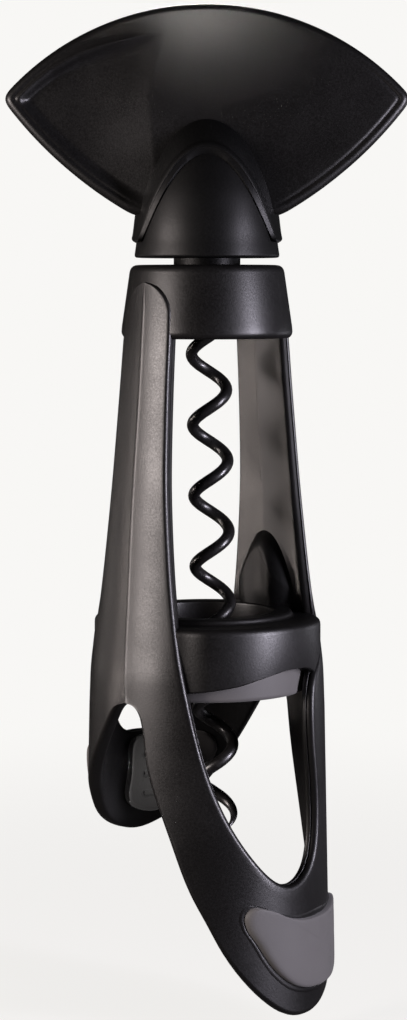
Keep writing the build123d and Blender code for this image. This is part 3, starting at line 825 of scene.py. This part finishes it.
def worm_tube():
    """Round wire carried along a right-hand helix, with its last turn drawn to a point.

    The wire's circle lies across the path: its two axes are the radial direction and
    the direction square to the radial one and the path. The worm leans a degree to +X
    from its root, as it hangs in the spindle.
    """
    reach, pitch, wire, lean_angle = 3.35, 13.8, 1.15, 1.0
    tip, full, root = -29, -22, 84
    z = np.concatenate([np.linspace(tip, full, 40, endpoint=False), np.linspace(full, root, 560)])
    angle = np.radians(180 + 360 * (z - 49.5) / pitch)
    outward = np.stack([np.cos(angle), np.sin(angle), 0 * z], 1)
    rise = pitch / (2 * np.pi)
    along = np.stack([-reach * np.sin(angle), reach * np.cos(angle), 0 * z + rise], 1)
    along = along / np.linalg.norm(along, axis=1, keepdims=True)
    square = np.cross(along, outward)
    thick = wire * np.interp(z, (tip, -28.7, -26.5, -24, full), (0.02, 0.16, 0.6, 0.92, 1))
    lean = np.clip(HUB_FOOT - z, 0, 200) * math.tan(math.radians(lean_angle))
    path = outward * reach + np.stack([lean, 0 * z, z], 1)
    turn = np.linspace(0, 2 * np.pi, 20, endpoint=False)[None, :, None]
    ring = np.cos(turn) * outward[:, None] + np.sin(turn) * square[:, None]
    tube = path[:, None] + thick[:, None, None] * ring
    ends = [0 * tube[i : i + 1] + path[i] for i in (0, -1)]
    return np.concatenate([ends[0], tube, ends[1]]), False, True


# Outline of a finger pad as (across, height) from its middle
PAD_EDGE = np.array(
    [
        *((0, 5.0), (-6.6, 5.4), (-11.4, 7.0), (-15.0, 8.5), (-16.6, 8.75), (-17.9, 8.0)),
        *((-18.4, 6.4), (-17.9, 4.6), (-16.4, 2.4), (-14.2, -1.0), (-10.8, -4.9), (-5.6, -7.6)),
        *((0, -8.2), (5.8, -8.0), (10.6, -6.6), (14.0, -3.0), (15.9, 0.8), (16.6, 3.4)),
        *((15.8, 5.2), (13.4, 5.9), (9.6, 5.6), (5.2, 5.1)),
    ]
)


def pad_outline():
    """Shield outline of a finger pad as (across, height) from its middle, a closed smooth line."""
    around_twice = np.concatenate([PAD_EDGE[-4:], PAD_EDGE, PAD_EDGE[:5]])
    return spline(around_twice, np.linspace(4, 4 + len(PAD_EDGE), 177)[:-1])


def finger_pad(bearing, middle):
    """Soft pad on a jaw's outer face: the shield outline shrunk to its middle, with a rolled edge.

    Across is measured along the face as angle times radius. The first rows close the
    pad behind the face.
    """
    line = pad_outline()
    back, sunk = np.array((0, 0.2, 0.4, 0.6, 0.8)), -1.2
    shrink = np.array((1, 1, 0.998, 0.988, 0.97, 0.945, 0.9, 0.8, 0.66, 0.5, 0.33, 0.16, 0))
    rise = np.array((sunk, 0.25, 0.6, 0.85, 0.98, 1.04, 1.07, 1.08, 1.08, 1.08, 1.08, 1.08, 1.08))
    shrink = np.concatenate([back, shrink])[:, None]
    rise = np.concatenate([0 * back + sunk, rise])[:, None]
    u = shrink * line[None, :, 0]
    z = middle + shrink * line[None, :, 1]
    radius = band_face(z) + rise
    return around(bearing + np.degrees(u / radius), radius, z), False, True


def pad_rim(bearing, middle):
    """Lip of the pocket round a finger pad: a low bead a hair away from the pad's edge.

    Its section rises from the face and falls back to it; the outline grows outwards,
    less where the pad lies along the jaw's edge.
    """
    line = pad_outline()
    length = np.linalg.norm(line, axis=1, keepdims=True)
    at_edge = np.clip((line[:, :1] - 2) / 4, 0, 1) * np.clip((5.5 - line[:, 1:]) / 2, 0, 1)
    grow = np.array((0.28, 0.32, 0.5, 0.9, 1.4, 1.4, 0.28))[:, None, None] * (1 - 0.8 * at_edge)
    rise = np.array((-0.6, 0.07, 0.12, 0.07, -0.1, -0.6, -0.6))[:, None]
    flat = line[None] * (1 + grow / length)
    z = middle + flat[..., 1]
    radius = band_face(z) + rise
    return around(bearing + np.degrees(flat[..., 0] / radius), radius, z), False, True


# Outline of an inner pad in shares of half its width and of its height, and these in mm
NECK_PAD_EDGE = np.array(
    [
        *((0.99, 0.45), (0.95, 0.78), (0.76, 0.98), (0.0, 1.0), (-0.72, 0.98)),
        *((-0.98, 0.8), (-0.74, 0.5), (-0.2, 0.18), (0.35, 0.0), (0.8, 0.08)),
    ]
)
NECK_PAD_SIZE = (9.9, 15.8)
SLOT_SHARES = (0.25, 0.5, 0.75)

# Side, then bearing and middle level of its finger pad, bearing and foot level of its inner pad
JAW_PADS = (
    ("front", 62.0, -48.0, 40.0, -58.1),
    ("back", -139.0, -19.2, -157.0, -29.3),
)


def inner_pad(bearing, foot):
    """Soft pad on a jaw's inner face, closed: a rounded outline filled level by level.

    Rows are levels, and columns run across the outline and back behind it. Thickness
    rises over a round edge by the distance to the outline, less three short slots.
    """
    thickness, edge_round, sunk = 1.4, 1.1, -0.3
    slot_depth, slot_half, slot_reach = 0.75, 0.62, 6.1
    edge = NECK_PAD_EDGE * NECK_PAD_SIZE
    twice = np.concatenate([edge[-4:], edge, edge[:5]])
    line = spline(twice, np.linspace(4, 4 + len(edge), 241)[:-1])
    top, low = line[:, 1].argmax(), line[:, 1].argmin()
    loop = np.roll(line, -top, axis=0)
    split = (low - top) % len(line)
    left = loop[: split + 1][::-1]
    right = np.concatenate([loop[split:], loop[:1]])
    v = line[low, 1] + (line[top, 1] - line[low, 1]) * (1 - np.cos(np.linspace(0, np.pi, 91))) / 2
    start = np.interp(v, np.maximum.accumulate(left[:, 1]), left[:, 0])[:, None]
    end = np.interp(v, np.maximum.accumulate(right[:, 1]), right[:, 0])[:, None]
    share = (1 - np.cos(np.linspace(0, np.pi, 61)))[None] / 2
    u = start + (end - start) * share
    level = v[:, None] + 0 * u
    reach = (u[..., None] - line[:, 0]) ** 2 + (level[..., None] - line[:, 1]) ** 2
    inset = np.sqrt(np.min(reach, axis=-1))
    roll = np.clip(inset / edge_round, 0, 1)
    thick = thickness * np.sqrt(1 - (1 - roll) ** 2)
    middle = np.clip((slot_reach - np.abs(u)) / 0.5, 0, 1)
    for slot in SLOT_SHARES:
        off = (level - NECK_PAD_SIZE[1] * slot) / slot_half
        thick = thick - slot_depth * middle * np.exp(-(off**6))
    thick = np.where(inset < 0.02, sunk, thick)
    u = np.concatenate([u, u[:, ::-1]], axis=1)
    level = np.concatenate([level, level], axis=1)
    thick = np.concatenate([thick, 0 * thick + sunk], axis=1)
    radius = band_face(foot + level) - WALL - thick
    return around(bearing + np.degrees(np.arcsin(u / radius)), radius, foot + level), False, True


def stage_paint(name, pale):
    """Matt pale paint: near the object it takes a light shadow, further off its plain colour shows.

    The plain share grows from 0.86 at 90 mm from the middle to 1 at 330 mm. Only the camera
    sees the floor pale; the object sees it dim, in its gloss too, so that its black stays
    black underneath. No finish is metal or glass, which would need the pale floor in it.
    """
    material, tree, shader, place = new_finish(name)
    shader.inputs["Base Color"].default_value = pale
    shader.inputs["Roughness"].default_value = 0.9
    away = add_node(
        tree,
        "ShaderNodeVectorMath",
        settings={"operation": "LENGTH"},
        links={0: place},
    )
    share = add_node(
        tree,
        "ShaderNodeMapRange",
        settings={"interpolation_type": "SMOOTHSTEP"},
        inputs={"From Min": 90 * MM, "From Max": 330 * MM, "To Min": 0.86, "To Max": 1.0},
        links={"Value": away.outputs["Value"]},
    )
    path = add_node(tree, "ShaderNodeLightPath")
    plain = add_node(tree, "ShaderNodeEmission", inputs={"Color": pale, "Strength": 1.0})
    shown = add_node(
        tree,
        "ShaderNodeMixShader",
        links={0: share.outputs["Result"], 1: shader.outputs[0], 2: plain.outputs[0]},
    )
    dim = add_node(tree, "ShaderNodeBsdfDiffuse", inputs={"Color": shade(pale[:3], 0.12)})
    both = add_node(
        tree,
        "ShaderNodeMixShader",
        links={0: path.outputs["Is Camera Ray"], 1: dim.outputs[0], 2: shown.outputs[0]},
    )
    tree.links.new(both.outputs[0], tree.nodes["Material Output"].inputs["Surface"])
    return material


def soft_lamp(name, spot, target, size, power, colour, spread):
    """Rectangular lamp at a spot, aimed at a target, with the units of LAMPS."""
    data = bpy.data.lights.new(name, "AREA")
    data.shape = "RECTANGLE"
    data.size, data.size_y = size[0] * MM, size[1] * MM
    data.energy = power
    data.spread = math.radians(spread)
    data.color = linear(colour)
    lamp = bpy.data.objects.new(name, data)
    away = np.subtract(spot, target)
    flat = math.hypot(away[0], away[1])
    lamp.location = [v * MM for v in spot]
    lamp.rotation_euler = (math.atan2(flat, away[2]), 0, math.atan2(away[0], -away[1]))
    bpy.context.scene.collection.objects.link(lamp)


class CorkscrewSizes(bpy.types.PropertyGroup):
    """Sizes of the surface detail that a user may change."""

    edge_groove: bpy.props.FloatProperty(
        name="Edge groove",
        description="Depth of the groove along the arms' edges",
        default=0.3 * MM,
        min=0,
        unit="LENGTH",
    )
    thumb_recess: bpy.props.FloatProperty(
        name="Thumb recess",
        description="Depth of the grip's thumb recess",
        default=1.5 * MM,
        min=0,
        unit="LENGTH",
    )
    crest: bpy.props.FloatProperty(
        name="Crest",
        description="Height of the crest above the thumb recess",
        default=0.8 * MM,
        min=0,
        unit="LENGTH",
    )
    rim_groove: bpy.props.FloatProperty(
        name="Rim groove",
        description="Depth of the groove inside the grip's lower rim",
        default=0.25 * MM,
        min=0,
        unit="LENGTH",
    )
    grain: bpy.props.FloatProperty(
        name="Grain",
        description="Spacing of the moulded grain",
        default=0.36 * MM,
        min=0.01 * MM,
        unit="LENGTH",
    )
    nylon_roughness: bpy.props.FloatProperty(
        name="Nylon roughness",
        description="Roughness of the grained nylon",
        default=0.4,
        min=0,
        max=1,
        subtype="FACTOR",
    )
    hub_roughness: bpy.props.FloatProperty(
        name="Hub roughness",
        description="Roughness of the smooth nylon",
        default=0.46,
        min=0,
        max=1,
        subtype="FACTOR",
    )


class CorkscrewColours(bpy.types.PropertyGroup):
    """Colours of the finishes, linear RGB from sRGB hex values."""

    nylon: bpy.props.FloatVectorProperty(
        name="Nylon", description="Grained black nylon", default=linear("#0a0909"), subtype="COLOR"
    )
    # Darker than the grained nylon: partly the finer finish, partly painted shade for the parts that
    # take it, which sit in shade
    hub: bpy.props.FloatVectorProperty(
        name="Hub nylon", description="Smooth black nylon", default=linear("#060606"), subtype="COLOR"
    )
    elastomer: bpy.props.FloatVectorProperty(
        name="Elastomer", description="Grey pads and sleeve", default=linear("#5a5857"), subtype="COLOR"
    )
    wire: bpy.props.FloatVectorProperty(
        name="Wire", description="Black coating of the worm", default=linear("#161515"), subtype="COLOR"
    )
    floor: bpy.props.FloatVectorProperty(
        name="Floor", description="Pale floor and backdrop", default=linear("#f8f7f5"), subtype="COLOR"
    )


class CORKSCREW_OT_frame_bands(bpy.types.Operator):
    """Lays the two U-shaped halves of the frame, which stay fixed and hang on no body"""

    bl_idname = "corkscrew.frame_bands"
    bl_label = "Frame and jaws"

    def execute(self, context):
        nylon = finish("nylon_grained", context.scene)
        groove = context.scene.corkscrew_sizes.edge_groove / MM
        front = frame_band(FRONT_WINDOW, FRONT_GAP, FRONT_GAP_MARKS, groove)
        back = half_turn(frame_band(BACK_WINDOW, BACK_GAP, BACK_GAP_MARKS, groove))
        band = lay("front_band", (front, False, True))
        dress(band, nylon, "black_nylon", "arm_frame", "front_jaw")
        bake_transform(band)
        band = lay("back_band", (back, False, True))
        dress(band, nylon, "black_nylon", "arm_frame", "back_jaw")
        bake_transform(band)
        return {"FINISHED"}


class CORKSCREW_OT_neck_ring(bpy.types.Operator):
    """Lays the neck ring, its soft sleeve and the two guides on the arms"""

    bl_idname = "corkscrew.neck_ring"
    bl_label = "Neck ring"

    def execute(self, context):
        nylon = finish("nylon_grained", context.scene)
        smooth = finish("nylon_fine_painted_shade", context.scene)
        soft = finish("grey_elastomer_moulded", context.scene)
        dress(lay("neck_ring", neck_ring()), nylon, "black_nylon", "arm_frame", body="frame")
        grid, rows, columns = tongue()
        guides = lay("arm_guides", (grid, rows, columns), (half_turn(grid), rows, columns))
        # The guides take the finer nylon, whose darker colour paints shade on them
        dress(guides, smooth, "black_nylon", "arm_frame", body="frame")
        sleeve = lay("neck_sleeve", revolved(liner_profile()))
        dress(sleeve, soft, "grey_elastomer", "neck_liner", body="frame")
        return {"FINISHED"}


class CORKSCREW_OT_collar(bpy.types.Operator):
    """Lays the collar and gives the washer and clip on the spindle the hub's finer black, darkened as
    painted shade
    """

    bl_idname = "corkscrew.collar"
    bl_label = "Collar"

    def execute(self, context):
        nylon = finish("nylon_grained", context.scene)
        collar = lay("collar", revolved(collar_profile()))
        dress(collar, nylon, "black_nylon", "top_collar", body="frame")
        # The washer and clip take the hub's finer nylon, whose darkness is painted shade
        for node in ("thrust_washer", "retaining_clip"):
            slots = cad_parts[node].data.materials
            slots.clear()
            slots.append(finish("nylon_fine_painted_shade", context.scene))
        return {"FINISHED"}


class CORKSCREW_OT_handle(bpy.types.Operator):
    """Lays the grip's two shells with their bell, and the hub"""

    bl_idname = "corkscrew.handle"
    bl_label = "Grip and hub"

    def execute(self, context):
        nylon = finish("nylon_grained", context.scene)
        # Bell and hub take the finer nylon, whose darker colour and weaker reflection are painted shade
        smooth = finish("nylon_fine_painted_shade", context.scene)
        blade, dome = grip_shell(context.scene.corkscrew_sizes), grip_dome()
        for side, turn in (("front", (1, 1, 1)), ("rear", (-1, -1, 1))):
            node = "grip_" + side + "_shell"
            face = lay("grip_" + side, (blade * turn, False, True))
            dress(face, nylon, "black_nylon", node, body="handle")
            bell = lay("bell_" + side, (dome * turn, False, True))
            dress(bell, smooth, "black_nylon", node, body="handle")
        dress(lay("hub", revolved(hub_profile())), smooth, "black_nylon", "handle_hub", body="handle")
        return {"FINISHED"}


class CORKSCREW_OT_worm(bpy.types.Operator):
    """Lays the worm with its sharp point"""

    bl_idname = "corkscrew.worm"
    bl_label = "Worm"

    def execute(self, context):
        wire = finish("coated_wire_black", context.scene)
        dress(lay("worm_wire", worm_tube()), wire, "coated_wire", "worm", body="handle")
        return {"FINISHED"}


class CORKSCREW_OT_pads(bpy.types.Operator):
    """Lays the finger pads outside the jaws and the slotted pads inside them"""

    bl_idname = "corkscrew.pads"
    bl_label = "Jaw pads"

    def execute(self, context):
        nylon = finish("nylon_grained", context.scene)
        soft = finish("grey_elastomer_moulded", context.scene)
        for side, bearing, middle, neck_bearing, foot in JAW_PADS:
            jaw = side + "_jaw"
            pad = lay(side + "_thumb_pad", finger_pad(bearing, middle))
            dress(pad, soft, "grey_elastomer", side + "_finger_pad", body=jaw)
            rim = lay(side + "_pad_rim", pad_rim(bearing, middle))
            dress(rim, nylon, "black_nylon", jaw, body=jaw)
            pad = lay(side + "_neck_pad", inner_pad(neck_bearing, foot))
            dress(pad, soft, "grey_elastomer", side + "_grip_pad", body=jaw)
        return {"FINISHED"}


class CORKSCREW_OT_stage(bpy.types.Operator):
    """Lays the pale floor and sets the soft lights, the world and the camera"""

    bl_idname = "corkscrew.stage"
    bl_label = "Stage"

    def execute(self, context):
        scene = context.scene
        pale = (*scene.corkscrew_colours.floor, 1)
        scene.view_settings.view_transform = "Standard"
        side = np.linspace(-FLOOR_HALF, FLOOR_HALF, 9)
        x, y = np.meshgrid(side, side, indexing="ij")
        floor = lay("floor", (np.stack([x, y, 0 * x + FLOOR_LEVEL], axis=-1), False, False))
        floor.data.materials.append(stage_paint("floor_paint", pale))
        world = bpy.data.worlds.new("studio")
        world.use_nodes = True
        scene.world = world
        tree = world.node_tree
        tree.nodes.clear()
        seen = add_node(tree, "ShaderNodeBackground", inputs={"Color": pale, "Strength": 1.0})
        room = add_node(tree, "ShaderNodeBackground", inputs={"Color": pale, "Strength": ROOM_LIGHT})
        path = add_node(tree, "ShaderNodeLightPath")
        both = add_node(
            tree,
            "ShaderNodeMixShader",
            links={0: path.outputs["Is Camera Ray"], 1: room.outputs[0], 2: seen.outputs[0]},
        )
        add_node(tree, "ShaderNodeOutputWorld", links={"Surface": both.outputs[0]})
        for lamp in LAMPS:
            soft_lamp(*lamp)
        data = bpy.data.cameras.new("camera")
        data.sensor_width = SENSOR_WIDTH
        data.lens = SENSOR_WIDTH * FOCAL_PIXELS / PICTURE_HEIGHT
        data.shift_x = MIDDLE_PIXELS[0] / PICTURE_HEIGHT
        data.shift_y = MIDDLE_PIXELS[1] / PICTURE_HEIGHT
        camera = bpy.data.objects.new("camera", data)
        camera.location = (0, -CAMERA_DISTANCE * MM, EYE_LEVEL * MM)
        camera.rotation_euler = (math.radians(90), 0, 0)
        scene.collection.objects.link(camera)
        scene.camera = camera
        return {"FINISHED"}


class CORKSCREW_PT_panel(bpy.types.Panel):
    """Lists the steps that dress the corkscrew"""

    bl_idname = "CORKSCREW_PT_panel"
    bl_label = "Corkscrew"
    bl_space_type = "VIEW_3D"
    bl_region_type = "UI"
    bl_category = "Corkscrew"

    def draw(self, context):
        column = self.layout.column()
        for kind in OPERATORS:
            column.operator(kind.bl_idname)


OPERATORS = (
    CORKSCREW_OT_frame_bands,
    CORKSCREW_OT_neck_ring,
    CORKSCREW_OT_collar,
    CORKSCREW_OT_handle,
    CORKSCREW_OT_worm,
    CORKSCREW_OT_pads,
    CORKSCREW_OT_stage,
)
CLASSES = (CorkscrewSizes, CorkscrewColours, *OPERATORS, CORKSCREW_PT_panel)


def register():
    for kind in CLASSES:
        bpy.utils.register_class(kind)
    bpy.types.Scene.corkscrew_sizes = bpy.props.PointerProperty(type=CorkscrewSizes)
    bpy.types.Scene.corkscrew_colours = bpy.props.PointerProperty(type=CorkscrewColours)


def unregister():
    del bpy.types.Scene.corkscrew_sizes
    del bpy.types.Scene.corkscrew_colours
    for kind in reversed(CLASSES):
        bpy.utils.unregister_class(kind)


def main():
    register()
    bpy.ops.corkscrew.frame_bands()
    bpy.ops.corkscrew.neck_ring()
    bpy.ops.corkscrew.collar()
    bpy.ops.corkscrew.handle()
    bpy.ops.corkscrew.worm()
    bpy.ops.corkscrew.pads()
    bpy.ops.corkscrew.stage()
    bpy.context.view_layer.update()


if __name__ == "__main__":
    main()
